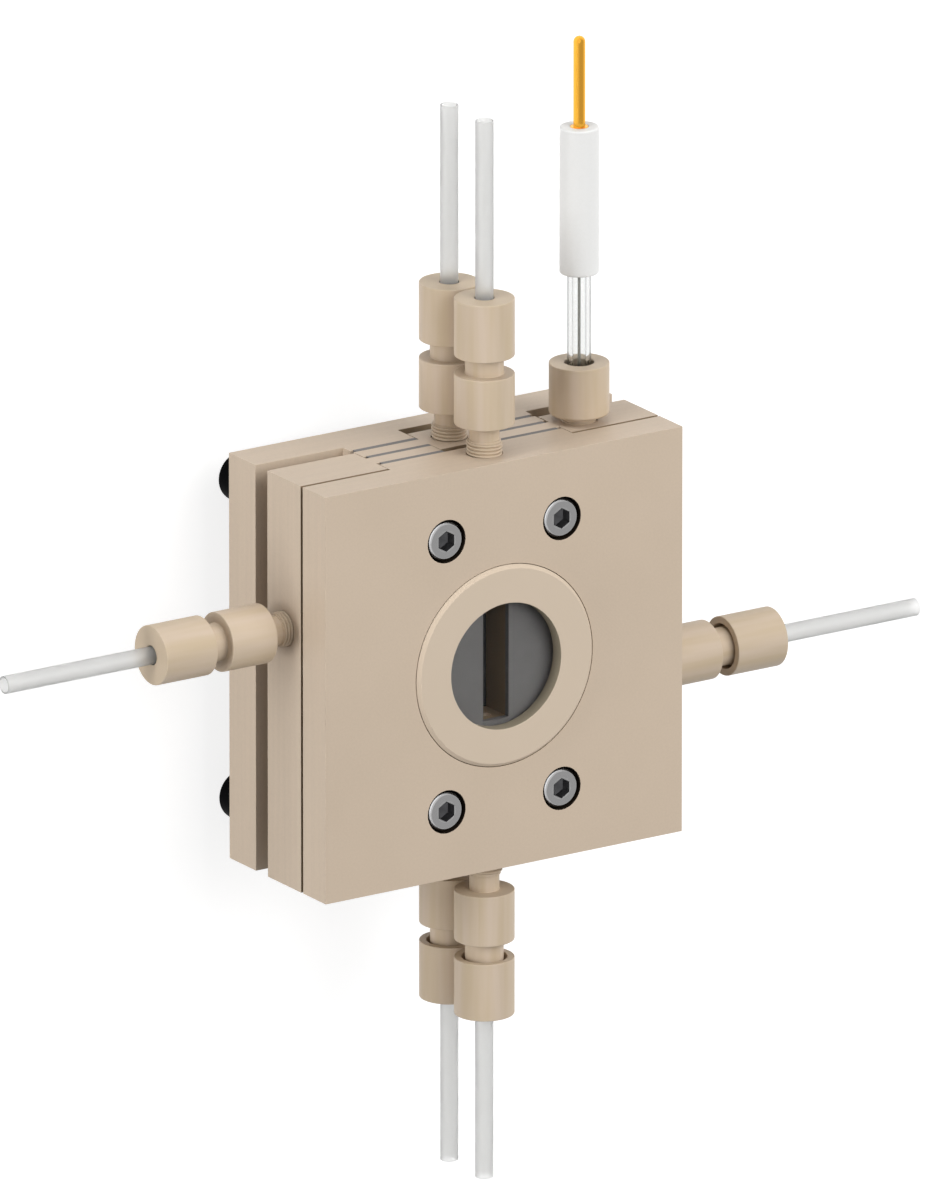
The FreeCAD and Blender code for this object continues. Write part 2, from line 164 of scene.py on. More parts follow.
# Floor: matt white board, brightened only where it is seen, so that the shadow stays on it
FLOOR_HALF = 3.0
FLOOR_GLOW = 0.8
floor_material, tree = new_material("white_board_matt")
board = add(tree, "ShaderNodeBsdfDiffuse", {"Color": linear("B0B0B0")})
glow = add(tree, "ShaderNodeMath", {0: seen_white(tree), 1: FLOOR_GLOW}, operation="MULTIPLY")
light = add(tree, "ShaderNodeEmission", {"Color": linear("FFFFFF"), "Strength": glow})
both = add(tree, "ShaderNodeAddShader", {0: board, 1: light})
add(tree, "ShaderNodeOutputMaterial", {0: both})
floor_level = cad_box[0].z
floor_mesh = bpy.data.meshes.new("floor")
floor_mesh.from_pydata(
    [(x * FLOOR_HALF, y * FLOOR_HALF, floor_level) for x, y in ((-1, -1), (1, -1), (1, 1), (-1, 1))],
    [], [(0, 1, 2, 3)])
floor_mesh.materials.append(floor_material)
floor = bpy.data.objects.new("floor", floor_mesh)
scene.collection.objects.link(floor)

# Lamps: way towards the lamp from the cell, width, height, and power. They light the matt surfaces and
# leave no bright patch in steel and glass, which mirror the room.
LAMP_DISTANCE = 1.2
LAMPS = {
    "lamp_in_front": ((0.3, 0.42, 0.85), 1.0, 1.0, 12.4),
    "lamp_at_left": ((-1.0, 0.0, 0.06), 1.0, 0.2, 7.2),
    "lamp_over_fittings": ((-0.3, 1.0, 0.06), 1.0, 0.2, 3.9),
}
for lamp_name, (way, width, height, power) in LAMPS.items():
    lamp_data = bpy.data.lights.new(lamp_name, "AREA")
    lamp_data.shape = "RECTANGLE"
    lamp_data.size = width
    lamp_data.size_y = height
    lamp_data.energy = power
    lamp = bpy.data.objects.new(lamp_name, lamp_data)
    lamp.location = Vector(way).normalized() * LAMP_DISTANCE
    lamp.rotation_mode = "QUATERNION"
    lamp.rotation_quaternion = Vector(way).to_track_quat("Z", "Y")
    lamp.visible_glossy = False
    scene.collection.objects.link(lamp)


# Plates
# Four plates of natural polyether ether ketone, a beige engineering plastic, milled on all sides.
# The milling leaves faint lines on a satin surface, and the edges are broken with a fine bevel.

BROKEN_EDGE = 0.1 * MM
SHARP_EDGE = math.radians(35)
BEVELLED_EDGE = math.radians(50)
SAME_PLACE = 0.002 * MM
SAME_PLANE = math.radians(0.5)
FLAT_AREA = 4 * MM * MM
SQUARE_ON = 0.9999
MILLING_STEP = 0.35 * MM
BAND_SPACING = 0.314
MOTTLE_SIZE = 14 * MM
SPECK_SIZE = 0.4 * MM
LAYER_STEP = 0.9 * MM
TOOL_MARK = 0.02 * MM


def variation(tree, step, stretch=(1.0, 1.0, 1.0), unrolled=False, detail=2.0, roughness=0.5):
    """Noise that changes about once a step, over the object or over a turned piece's unrolled surface.

    A stretch under 1 draws it out along that axis.
    """
    if unrolled:
        place = add(tree, "ShaderNodeUVMap", uv_map="surface")
    else:
        place = add(tree, "ShaderNodeTexCoord").outputs["Object"]
    drawn_out = add(tree, "ShaderNodeMapping", {"Vector": place, "Scale": stretch})
    return add(tree, "ShaderNodeTexNoise", {"Vector": drawn_out, "Scale": 1 / step, "Detail": detail,
                                            "Roughness": roughness})


def mottled(tree, deep, light):
    """The faint clouds of pressed plastic, and their colour between two shades."""
    clouds = variation(tree, MOTTLE_SIZE, detail=3.0, roughness=0.55)
    colour = add(tree, "ShaderNodeMix", {"Factor": clouds, "A": linear(deep), "B": linear(light)},
                 data_type="RGBA")
    return clouds, colour.outputs["Result"]


def finish_surface(tree, look, relief=None, strength=0.0, depth=TOOL_MARK):
    """Close a material's tree with its shader, whose inputs are the look, and a relief of this depth."""
    if relief is not None:
        look["Normal"] = add(tree, "ShaderNodeBump", {"Height": relief, "Strength": strength,
                                                      "Distance": depth})
    shader = add(tree, "ShaderNodeBsdfPrincipled", look)
    return add(tree, "ShaderNodeOutputMaterial", {0: shader})


# Milled plastic: one even beige with faint clouds and specks, and a satin sheen that they break up. Real
# tool lines lie about 0.1 mm apart and are drawn coarser, so that they show. The wave node's bands lie
# BAND_SPACING apart at scale 1. The layers of pressed sheet show as streaks along its narrow sides.
peek_milled, tree = new_material("peek_milled_satin")
clouds, shades = mottled(tree, "CDBBA6", "D1BFAB")
speck = variation(tree, SPECK_SIZE)
layers = variation(tree, LAYER_STEP, (0.02, 0.02, 1.0), detail=3.0, roughness=0.6)
fine = add(tree, "ShaderNodeMix", {0: 0.6, 2: speck, 3: layers})
tone = add(tree, "ShaderNodeMapRange", {"Value": fine, "From Min": 0.3, "From Max": 0.7,
                                        "To Min": 0.95, "To Max": 1.04})
colour = add(tree, "ShaderNodeMix", {"Factor": 1.0, "A": shades, "B": tone}, data_type="RGBA",
             blend_type="MULTIPLY")
place = add(tree, "ShaderNodeTexCoord")
lines = add(tree, "ShaderNodeTexWave", {
    "Vector": place.outputs["Object"], "Scale": BAND_SPACING / MILLING_STEP, "Distortion": 1.5,
    "Detail": 2.0}, bands_direction="DIAGONAL")
relief = add(tree, "ShaderNodeMath", {0: lines.outputs["Fac"], 1: speck}, operation="ADD")
satin = add(tree, "ShaderNodeMapRange", {"Value": clouds, "From Min": 0.3, "From Max": 0.7,
                                         "To Min": 0.42, "To Max": 0.52})
finish_surface(tree, {"Base Color": colour.outputs["Result"], "Roughness": satin, "IOR": 1.5,
                      "Specular IOR Level": 0.35}, relief, 0.12)


def gap_walls(name, deep, light):
    """Plastic on the walls of a gap: rough, and mottled between two darker shades, which are painted shade.

    The narrower the gap, the less light comes out of it, and the deeper the painted shades are set.
    """
    material, tree = new_material(name)
    colour = mottled(tree, deep, light)[1]
    finish_surface(tree, {"Base Color": colour, "Roughness": 0.65, "Specular IOR Level": 0.25})
    return material


# Painted shade for the walls of gaps. The darkest is for the counterbores round the screws and the nuts'
# holes, a middle one for the slot, the boss's sides, the ring's recess and the seams, and the lightest for
# the notches round the port blocks.
peek_bored = gap_walls("peek_bored_in_shade", "241D16", "30271E")
peek_slotted = gap_walls("peek_slot_wall_painted_shade", "927D64", "9C886F")
peek_pocketed = gap_walls("peek_pocket_wall_painted_shade", "A59178", "AF9B83")


def place_piece(piece, body, slot, *replaced):
    """Put a finished piece in the scene, on its body, in place of the nodes that it stands for."""
    if piece.name not in scene.collection.objects:
        scene.collection.objects.link(piece)
    if replaced:
        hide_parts(*replaced)
    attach(piece, body)
    return piece


def eased_copy(name, node_name, material, width):
    """A copy of a CAD node as whole faces, with its sharp edges broken."""
    mesh = nodes[node_name].data.copy()
    mesh.name = name
    sheet = bmesh.new()
    sheet.from_mesh(mesh)
    bmesh.ops.remove_doubles(sheet, verts=sheet.verts, dist=SAME_PLACE)
    bmesh.ops.dissolve_limit(sheet, angle_limit=SAME_PLANE, verts=sheet.verts, edges=sheet.edges)
    sheet.to_mesh(mesh)
    sheet.free()
    mesh.materials.clear()
    mesh.materials.append(material)
    mesh.shade_smooth()
    mesh.set_sharp_from_angle(angle=SHARP_EDGE)
    for face in mesh.polygons:
        face.use_smooth = face.area < FLAT_AREA or max(abs(part) for part in face.normal) < SQUARE_ON
    piece = bpy.data.objects.new(name, mesh)
    bevel = piece.modifiers.new("broken edges", "BEVEL")
    bevel.width = width
    bevel.segments = 2
    bevel.limit_method = "ANGLE"
    bevel.angle_limit = BEVELLED_EDGE
    bevel.harden_normals = True
    return piece


def line_gap(piece, material, in_gap):
    """Give those faces of a piece that lie in a narrow gap a material of their own, which carries painted
    shade.
    """
    piece.data.materials.append(material)
    for face in piece.data.polygons:
        if in_gap(face):
            face.material_index = len(piece.data.materials) - 1


# Where the gaps lie, whose walls carry painted shade. A normal with a part over FACING lies along an axis,
# and with one under ASIDE it lies across it.
FACING = 0.9
ASIDE = 0.1
ON_PLANE = 0.02 * MM
ON_BORE = 0.15 * MM
FRONT_SEAM = -6.8 * MM
MIDDLE_SEAM = -7.4 * MM
SLOT_HALF = 2.55 * MM
SLOT_REACH = 14.8 * MM
BOSS_HALF = 17.9 * MM
HEAD_RADIUS = 3.3 * MM
COUNTERBORE_RADIUS = 3.7 * MM
NOTCH_HALF = 5.2 * MM
NOTCH_START = 24.8 * MM
NOTCH_END = 34.9 * MM

centre = Vector((0, 0))
screws_low, screws_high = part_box("front_screws")
ring_low, ring_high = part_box("window_ring")
recess_radius = (ring_high.x - ring_low.x) / 2
screw_axes = [Vector((x, y)) for x in (screws_low.x + HEAD_RADIUS, screws_high.x - HEAD_RADIUS)
              for y in (screws_low.y + HEAD_RADIUS, screws_high.y - HEAD_RADIUS)]


def in_seam(face, level):
    """Whether a face is level with one side of the seam between the front and the middle plate."""
    return abs(face.normal.z) > FACING and abs(face.center.z - level) < ON_PLANE


def on_bore(face, axis, radius, play=ON_BORE):
    """Whether a face is part of the round wall of this radius about an upright axis."""
    return abs(face.normal.z) < ASIDE and abs((face.center.xy - axis).length - radius) < play


def in_front_gap(face):
    """Whether a face of the front plate is in its seam, beside its slot or boss, or round the ring."""
    beside_slot = (abs(face.normal.z) < ASIDE and abs(face.center.x) < SLOT_HALF
                   and face.center.xy.length < SLOT_REACH)
    beside_boss = abs(face.normal.x) > FACING and abs(abs(face.center.x) - BOSS_HALF) < ON_PLANE
    round_ring = on_bore(face, centre, recess_radius)
    return in_seam(face, FRONT_SEAM) or beside_slot or beside_boss or round_ring


def in_counterbore(face):
    """Whether a face is part of the round wall beside a front screw's head."""
    return any(on_bore(face, axis, COUNTERBORE_RADIUS) for axis in screw_axes)


def in_middle_gap(face):
    """Whether a face of the middle plate is in its seam."""
    return in_seam(face, MIDDLE_SEAM)


def in_notch(face):
    """Whether a face lies in a notch round a port block, below the plates' edge."""
    return abs(face.center.x) < NOTCH_HALF and NOTCH_START < abs(face.center.y) < NOTCH_END


# The walls in each plate's gaps get painted shade, darker than the plain beige.
PLATES = {
    "front_plate": [(peek_slotted, in_front_gap), (peek_bored, in_counterbore)],
    "middle_plate": [(peek_slotted, in_middle_gap), (peek_pocketed, in_notch)],
    "insert_plate": [(peek_pocketed, in_notch)],
    "back_plate": [(peek_pocketed, in_notch)],
}
for node_name, gaps in PLATES.items():
    piece = eased_copy(f"{node_name}_milled", node_name, peek_milled, BROKEN_EDGE)
    for material, in_gap in gaps:
        line_gap(piece, material, in_gap)
    place_piece(piece, "cell", "plates", node_name)


# Gaskets
# Three die-cut sheets of grey silicone rubber, one millimetre thick, squeezed between the plates.
# The window's own gasket is the same sheet. The rubber is matt, with a fine dusty grain.

RUBBER_GRAIN = 0.25 * MM

# Silicone: a neutral grey without gloss. Its grain is much finer than the one drawn, which has to show.
silicone, tree = new_material("silicone_rubber_grey_matt")
cloud = variation(tree, RUBBER_GRAIN * 10)
colour = add(tree, "ShaderNodeMix", {"Factor": cloud, "A": linear("7E7C7B"), "B": linear("878584")},
             data_type="RGBA")
finish_surface(tree, {"Base Color": colour.outputs["Result"], "Roughness": 0.75, "IOR": 1.41},
               variation(tree, RUBBER_GRAIN, detail=4.0, roughness=0.6), 0.3)


def finish_node(node_name, material):
    """Give a CAD node that stays as it is its material."""
    node = nodes[node_name]
    node.data.materials.clear()
    node.data.materials.append(material)
    return node


for node_name in ("front_gasket", "middle_gasket", "rear_gasket", "window_gasket", "reference_seal"):
    finish_node(node_name, silicone)


# Sheets between the chambers
# A black carbon-paper electrode that lets gas through, an ion exchange membrane and a metal counter
# electrode. Each lies in a shallow pocket round its chamber.

FIBRE_SPACING = 0.15 * MM
FIBRE_HEIGHT = 0.03 * MM
RIPPLE_SIZE = 3 * MM
RIPPLE_HEIGHT = 0.05 * MM
ROLLING_LINE = 0.2 * MM

# Carbon paper: black and dull, with its fibres mostly along one way, drawn thicker than they are
carbon_paper, tree = new_material("carbon_paper_black")
fibres = variation(tree, FIBRE_SPACING, (1.0, 0.15, 1.0), detail=3.0)
colour = add(tree, "ShaderNodeMix", {"Factor": fibres, "A": linear("101010"), "B": linear("2A2A2A")},
             data_type="RGBA")
finish_surface(tree, {"Base Color": colour.outputs["Result"], "Roughness": 0.8}, fibres, 0.5,
               FIBRE_HEIGHT)
finish_node("gas_diffusion_electrode", carbon_paper)

# Cast film: yellowish white, smooth and glossy, slightly rippled
ion_film, tree = new_material("ion_exchange_film")
finish_surface(tree, {"Base Color": linear("E4DCC6"), "Roughness": 0.25, "IOR": 1.36},
               variation(tree, RIPPLE_SIZE), 0.4, RIPPLE_HEIGHT)
finish_node("membrane", ion_film)

# Rolled nickel: a warm grey metal with a long-lined gloss from the rollers, drawn coarser than it is
nickel_sheet, tree = new_material("nickel_sheet_rolled")
rolling = variation(tree, ROLLING_LINE, (1.0, 0.03, 1.0))
rough = add(tree, "ShaderNodeMapRange", {"Value": rolling, "To Min": 0.25, "To Max": 0.45})
finish_surface(tree, {"Base Color": linear("B9B5AC"), "Metallic": 1.0, "Roughness": rough})
finish_node("counter_electrode", nickel_sheet)


# Window ring
# A ring of the same beige plastic, turned on a lathe and screwed into the front plate over the glass.
# The cutting tool leaves fine rings round its face, and the outer edge has a wide chamfer.

RING_EDGE = 0.06 * MM
RING_PLAY = 0.06 * MM
RING_CHAMFER = 0.6 * MM
RING_SEGMENTS = 180
TURNING_STEP = 0.25 * MM
END_STREAKS = 0.02
ON_HOLE = 0.02

# A length under TINY metres counts as none. A rounded corner takes at most MOST_OF_SIDE of each side that
# meets there, and FLAT_GUARD is how much further out the points lie that keep the rest of the side flat.
TINY = 1e-6
MOST_OF_SIDE = 0.45
FLAT_GUARD = 1.08

# Faced plastic: the beige a shade lighter where it is freshly cut, with rings about the centre. Real
# tool rings lie about 0.1 mm apart and are drawn coarser, so that they show.
peek_faced, tree = new_material("peek_turned_face")
shades = mottled(tree, "D2C1AC", "D6C5B1")[1]
place = add(tree, "ShaderNodeTexCoord")
flat = add(tree, "ShaderNodeVectorMath", {0: place.outputs["Object"], 1: (1.0, 1.0, 0.0)},
           operation="MULTIPLY")
radius = add(tree, "ShaderNodeVectorMath", {0: flat}, operation="LENGTH")
rings = add(tree, "ShaderNodeTexNoise", {"W": radius.outputs["Value"], "Scale": 1 / TURNING_STEP,
                                         "Detail": 1.0}, noise_dimensions="1D")
relief = add(tree, "ShaderNodeMath", {0: rings, 1: variation(tree, SPECK_SIZE)}, operation="ADD")
finish_surface(tree, {"Base Color": shades, "Roughness": 0.45, "IOR": 1.5, "Specular IOR Level": 0.35},
               relief, 0.12)


def softened(outline, edge, steps=3):
    """An outline of (radius, height) points with every corner off the axis rounded by the edge size.

    One more point on each side of a corner keeps the shading of the straight parts flat.
    """
    points = [Vector(point) for point in outline]
    soft = []
    for index, corner in enumerate(points):
        before = points[index - 1] - corner
        after = points[(index + 1) % len(points)] - corner
        reach = min(edge, MOST_OF_SIDE * before.length, MOST_OF_SIDE * after.length)
        if corner.x < TINY or reach < TINY:
            soft.append(corner)
            continue
        start = corner + before.normalized() * reach
        end = corner + after.normalized() * reach
        soft.append(corner + before.normalized() * FLAT_GUARD * reach)
        for step in range(steps + 1):
            part = step / steps
            soft.append(start * (1 - part) ** 2 + corner * (2 * part * (1 - part)) + end * part ** 2)
        soft.append(corner + after.normalized() * FLAT_GUARD * reach)
    return soft


def standing(point, way):
    """The matrix that puts a piece made on the Z axis at a point, with its axis along way."""
    turn = Vector((0, 0, 1)).rotation_difference(Vector(way)).to_matrix().to_4x4()
    return Matrix.Translation(point) @ turn


def as_object(name, sheet, material):
    """The mesh that has been built up, as an object of one material."""
    mesh = bpy.data.meshes.new(name)
    sheet.to_mesh(mesh)
    sheet.free()
    mesh.materials.append(material)
    return bpy.data.objects.new(name, mesh)


def turned_piece(name, outline, start, way, material, edge, segments=96):
    """A turned piece: the outline of (radius, height) points goes round the axis from start along way.

    Its map "surface" is the unrolled surface in metres, pressed together on flat ends, where the long
    streaks of bar stock would else show as spokes.
    """
    profile = softened(outline, edge)
    lengths = [0.0]
    for point, following in zip(profile, profile[1:] + profile[:1]):
        lengths.append(lengths[-1] + (following - point).length)
    sheet = bmesh.new()
    maps = sheet.loops.layers.uv.new("surface")
    columns = []
    for step in range(segments):
        angle = 2 * math.pi * step / segments
        ring = []
        for point in profile:
            if point.x < TINY and step:
                ring.append(columns[0][len(ring)])
            else:
                place = (point.x * math.cos(angle), point.x * math.sin(angle), point.y)
                ring.append(sheet.verts.new(place))
        columns.append(ring)
    widest = max(point.x for point in profile)
    for step in range(segments):
        left, right = columns[step], columns[(step + 1) % segments]
        for row in range(len(profile)):
            below = (row + 1) % len(profile)
            corners = [(left[row], step, row), (left[below], step, row + 1),
                       (right[below], step + 1, row + 1), (right[row], step + 1, row)]
            unique = []
            for corner in corners:
                if all(corner[0] is not other[0] for other in unique):
                    unique.append(corner)
            if len(unique) < 3:
                continue
            face = sheet.faces.new([corner[0] for corner in unique])
            face.smooth = True
            flat_end = abs(profile[row].y - profile[below].y) < TINY / 10
            spread = END_STREAKS if flat_end else 1.0
            for loop, (_, column, level) in zip(face.loops, unique):
                loop[maps].uv = (spread * 2 * math.pi * widest * column / segments, lengths[level])
    bmesh.ops.recalc_face_normals(sheet, faces=sheet.faces)
    bmesh.ops.transform(sheet, matrix=standing(start, way), verts=sheet.verts)
    return as_object(name, sheet, material)


def line_hole(piece, radius, material):
    """Give the wall of the hole of this radius, in a piece on the Z axis, its own material, which carries
    painted shade.
    """
    line_gap(piece, material, lambda face: on_bore(face, centre, radius, ON_HOLE * radius))


origin = Vector((0, 0, 0))
upward = Vector((0, 0, 1))
ring_radius = recess_radius - RING_PLAY
ring_bore = frame["record"]["mounts"][0]["dims"]["r_mm"] * MM
piece = turned_piece("window_ring_turned", [
    (ring_bore, ring_low.z), (ring_radius, ring_low.z), (ring_radius, ring_high.z - RING_CHAMFER),
    (ring_radius - RING_CHAMFER, ring_high.z), (ring_bore, ring_high.z),
], origin, upward, peek_faced, RING_EDGE, RING_SEGMENTS)
# The ring's bore wall gets painted shade.
line_hole(piece, ring_bore, gap_walls("peek_ring_bore_painted_shade", "9A8F7C", "A39884"))
place_piece(piece, "window_ring", "fittings", "window_ring")


# Window glass
# A polished disc of clear borosilicate glass with ground edges, held between the ring and its gasket.
# It is almost invisible from the front, apart from a weak reflection.

GLASS_EDGE = 0.15 * MM
GASKET_AIR = 0.05 * MM
GLASS_SEGMENTS = 128
WAVINESS = 12 * MM

# Polished glass with an anti-reflection coating: clear, barely wavy, and its mirror image dimmed
window_clear, tree = new_material("borosilicate_glass_clear")
finish_surface(tree, {"Base Color": linear("FFFFFF"), "Roughness": 0.0, "IOR": 1.47,
                      "Transmission Weight": 1.0, "Specular Tint": linear("404040")},
               variation(tree, WAVINESS), 0.05)

glass_low, glass_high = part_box("window_glass")
glass_radius = (glass_high.x - glass_low.x) / 2
piece = turned_piece("window_glass_disc", [
    (0, glass_low.z + GASKET_AIR), (glass_radius, glass_low.z + GASKET_AIR),
    (glass_radius, glass_high.z), (0, glass_high.z),
], origin, upward, window_clear, GLASS_EDGE, GLASS_SEGMENTS)
place_piece(piece, "cell", "window", "window_glass")


# Front screws
# Four M4 socket head screws of stainless steel, in counterbores just under the front face.
# Each head is turned and has a chamfered rim, and its hexagon socket is pressed in.

HEAD_CHAMFER = 0.4 * MM
HEAD_HEIGHT = 4.0 * MM
SCREW_RADIUS = 2.0 * MM
SCREW_TIP = 0.3 * MM
SCREW_SEGMENTS = 96
HEX_FLATS = 3.06 * MM
HEX_DEPTH = 2.0 * MM
HEX_CONE = 0.6 * MM
HEX_EDGE = 0.02 * MM
STEEL_EDGE = 0.05 * MM
STEEL_CREASE = math.radians(40)
BRUSH_LINE = 0.12 * MM
LONGEST_RUN = 60 * MM
CHAMFER_RUN = 2.94 * MM
SIDE_RUN = 3.7 * MM
RINGS = (0.02, 1.0, 1.0)

# Turned steel, plain grey on the face. Its other zones are painted light: a painted shade in the socket,
# which is also rougher, a painted highlight on the chamfer, and a painted shade on the knurled side, which
# stands in the narrow counterbore. The zones go by the surface's run, which counts outwards over the face
# and down the side, and is negative inside the socket. The tool's rings show in the gloss alone, and are
# drawn coarser than real.
stainless, tree = new_material("stainless_steel_turned")
rings = variation(tree, BRUSH_LINE, RINGS, unrolled=True)
surface = add(tree, "ShaderNodeUVMap", uv_map="surface")
run = add(tree, "ShaderNodeSeparateXYZ", {0: surface}).outputs["Y"]
place_along = add(tree, "ShaderNodeMapRange", {"Value": run, "From Min": -LONGEST_RUN,
                                               "From Max": LONGEST_RUN})
zones = add(tree, "ShaderNodeValToRGB", {0: place_along})
zones.color_ramp.interpolation = "CONSTANT"
zones.color_ramp.elements[0].position = 0.0
zones.color_ramp.elements[0].color = linear("808082")
zones.color_ramp.elements[1].position = 0.5
zones.color_ramp.elements[1].color = linear("BCBBBB")
# Painted highlight on the chamfer, painted shade on the side.
for zone_start, shade in ((CHAMFER_RUN, "F4F4F5"), (SIDE_RUN, "3A3A3B")):
    zones.color_ramp.elements.new(0.5 + zone_start / LONGEST_RUN / 2).color = linear(shade)
dull = add(tree, "ShaderNodeMapRange", {"Value": run, "From Min": -HEX_EDGE / 2, "From Max": 0.0,
                                        "To Min": 0.3, "To Max": 0.0})
rough = add(tree, "ShaderNodeMapRange", {"Value": rings, "From Min": 0.3, "From Max": 0.7,
                                         "To Min": 0.2, "To Max": 0.26})
gloss = add(tree, "ShaderNodeMath", {0: rough, 1: dull}, operation="ADD")
finish_surface(tree, {"Base Color": zones, "Metallic": 1.0, "Roughness": gloss})


def hex_reach(angle):
    """Distance from the socket's axis to its side, with the hexagon's corners on the Y axis."""
    turn = (angle - math.radians(90)) % math.radians(60) - math.radians(30)
    return HEX_FLATS / 2 / math.cos(turn)


def socket_screw(name, length, material):
    """One socket head screw on the Z axis, with its face at height 0 and the socket open."""
    hex_radius = HEX_FLATS / math.sqrt(3)
    outline = [(hex_radius, 0.0), (HEAD_RADIUS - HEAD_CHAMFER, 0.0), (HEAD_RADIUS, -HEAD_CHAMFER),
               (HEAD_RADIUS, -HEAD_HEIGHT), (SCREW_RADIUS, -HEAD_HEIGHT),
               (SCREW_RADIUS, SCREW_TIP - length), (SCREW_RADIUS - SCREW_TIP, -length), (0, -length)]
    soft = [point for point in softened(outline, STEEL_EDGE)
            if point.x > hex_radius + TINY or point.x > TINY and point.y < -HEAD_CHAMFER]
    sheet = bmesh.new()
    maps = sheet.loops.layers.uv.new("surface")
    rows = []
    floor_ring = []
    wall_ring = []
    for step in range(SCREW_SEGMENTS):
        angle = 2 * math.pi * step / SCREW_SEGMENTS
        direction = Vector((math.cos(angle), math.sin(angle), 0))
        reach = hex_reach(angle)
        floor_ring.append(sheet.verts.new(direction * reach + Vector((0, 0, -HEX_DEPTH))))
        wall_ring.append(sheet.verts.new(direction * reach + Vector((0, 0, -HEX_EDGE))))
        rows.append([sheet.verts.new(direction * (reach + HEX_EDGE)),
                     sheet.verts.new(direction * (reach + 2 * HEX_EDGE)),
                     *[sheet.verts.new(direction * point.x + Vector((0, 0, point.y))) for point in soft]])
    cone = sheet.verts.new((0, 0, -HEX_DEPTH - HEX_CONE))
    tip = sheet.verts.new((0, 0, -length))
    for step in range(SCREW_SEGMENTS):
        angle = 2 * math.pi * step / SCREW_SEGMENTS
        following = (step + 1) % SCREW_SEGMENTS
        left, right = rows[step], rows[following]
        faces = [[floor_ring[step], floor_ring[following], cone],
                 [wall_ring[step], wall_ring[following], floor_ring[following], floor_ring[step]],
                 [left[0], right[0], wall_ring[following], wall_ring[step]]]
        for level in range(len(left) - 1):
            faces.append([left[level], left[level + 1], right[level + 1], right[level]])
        faces.append([left[-1], tip, right[-1]])
        for corners in faces:
            face = sheet.faces.new(corners)
            face.smooth = True
            inside = corners[0] in (floor_ring[step], wall_ring[step])
            for loop in face.loops:
                run = Vector(loop.vert.co.xy).length - loop.vert.co.z
                loop[maps].uv = (HEAD_RADIUS * angle, -run if inside else run)
    bmesh.ops.recalc_face_normals(sheet, faces=sheet.faces)
    piece = as_object(name, sheet, material)
    piece.data.set_sharp_from_angle(angle=STEEL_CREASE)
    return piece


def new_tree(name, **inputs):
    """A Geometry Nodes tree with named inputs of the given kinds, and the sockets that they arrive at."""
    tree = bpy.data.node_groups.new(name, "GeometryNodeTree")
    for label, kind in inputs.items():
        tree.interface.new_socket(label, in_out="INPUT", socket_type="NodeSocket" + kind)
    tree.interface.new_socket("Geometry", in_out="OUTPUT", socket_type="NodeSocketGeometry")
    return tree, add(tree, "NodeGroupInput").outputs


def end_tree(tree, geometry, material_socket):
    """Close a tree: real geometry, one material, and the output."""
    real = add(tree, "GeometryNodeRealizeInstances", {0: geometry})
    painted = add(tree, "GeometryNodeSetMaterial", {"Geometry": real, "Material": material_socket})
    add(tree, "NodeGroupOutput", {0: painted})


def baked(name, tree, **values):
    """The plain mesh object that a tree makes with the given values for its inputs."""
    holder = bpy.data.objects.new(name + "_holder", bpy.data.meshes.new(name + "_holder"))
    scene.collection.objects.link(holder)
    modifier = holder.modifiers.new("nodes", "NODES")
    modifier.node_group = tree
    for item in tree.interface.items_tree:
        if item.item_type == "SOCKET" and item.in_out == "INPUT" and item.name in values:
            modifier[item.identifier] = values[item.name]
    bpy.context.view_layer.update()
    evaluated = holder.evaluated_get(bpy.context.evaluated_depsgraph_get())
    mesh = bpy.data.meshes.new_from_object(evaluated)
    mesh.name = name
    bpy.data.objects.remove(holder)
    return bpy.data.objects.new(name, mesh)


# Four places on a rectangle, each with a copy of the same screw
tree, given = new_tree("screws on a rectangle", screw="Object", spacing_x="Float", spacing_y="Float",
                       level="Float", material="Material")
grid = add(tree, "GeometryNodeMeshGrid", {"Size X": given["spacing_x"], "Size Y": given["spacing_y"],
                                          "Vertices X": 2, "Vertices Y": 2})
height = add(tree, "ShaderNodeCombineXYZ", {"Z": given["level"]})
raised = add(tree, "GeometryNodeSetPosition", {"Geometry": grid, "Offset": height})
points = add(tree, "GeometryNodeMeshToPoints", {"Mesh": raised})
source = add(tree, "GeometryNodeObjectInfo", {"Object": given["screw"]})
copies = add(tree, "GeometryNodeInstanceOnPoints", {"Points": points,
                                                    "Instance": source.outputs["Geometry"]})
end_tree(tree, copies, given["material"])

pattern = socket_screw("socket_screw_pattern", screws_high.z - screws_low.z, stainless)
scene.collection.objects.link(pattern)
piece = baked("front_screws_steel", tree, screw=pattern, level=screws_high.z, material=stainless,
              spacing_x=screws_high.x - screws_low.x - 2 * HEAD_RADIUS,
              spacing_y=screws_high.y - screws_low.y - 2 * HEAD_RADIUS)
bpy.data.objects.remove(pattern)
place_piece(piece, "cell", "steel", "front_screws")


# Knobs
# Four round knobs of black moulded plastic at the back, each moulded on a threaded steel stud.
# The cell lies on their ends. Their skin is satin, with the fine grain of a sparked mould.

KNOB_EDGE = 0.35 * MM
KNOB_GRAIN = 0.3 * MM
KNOB_DIMPLE = 0.5 * MM
KNOB_SEGMENTS = 72
DIMPLE_RIM, DIMPLE_FLOOR = 0.5, 0.42

# Moulded plastic: almost black, with a weak satin sheen that the mould's grain, drawn coarser, breaks up
moulded_black, tree = new_material("moulded_plastic_black_satin")
grain = variation(tree, KNOB_GRAIN, detail=3.0)
rough = add(tree, "ShaderNodeMapRange", {"Value": grain, "To Min": 0.42, "To Max": 0.52})
finish_surface(tree, {"Base Color": linear("030304"), "Specular Tint": linear("505050"),
                      "Roughness": rough, "IOR": 1.49, "Specular IOR Level": 0.02}, grain, 0.25)

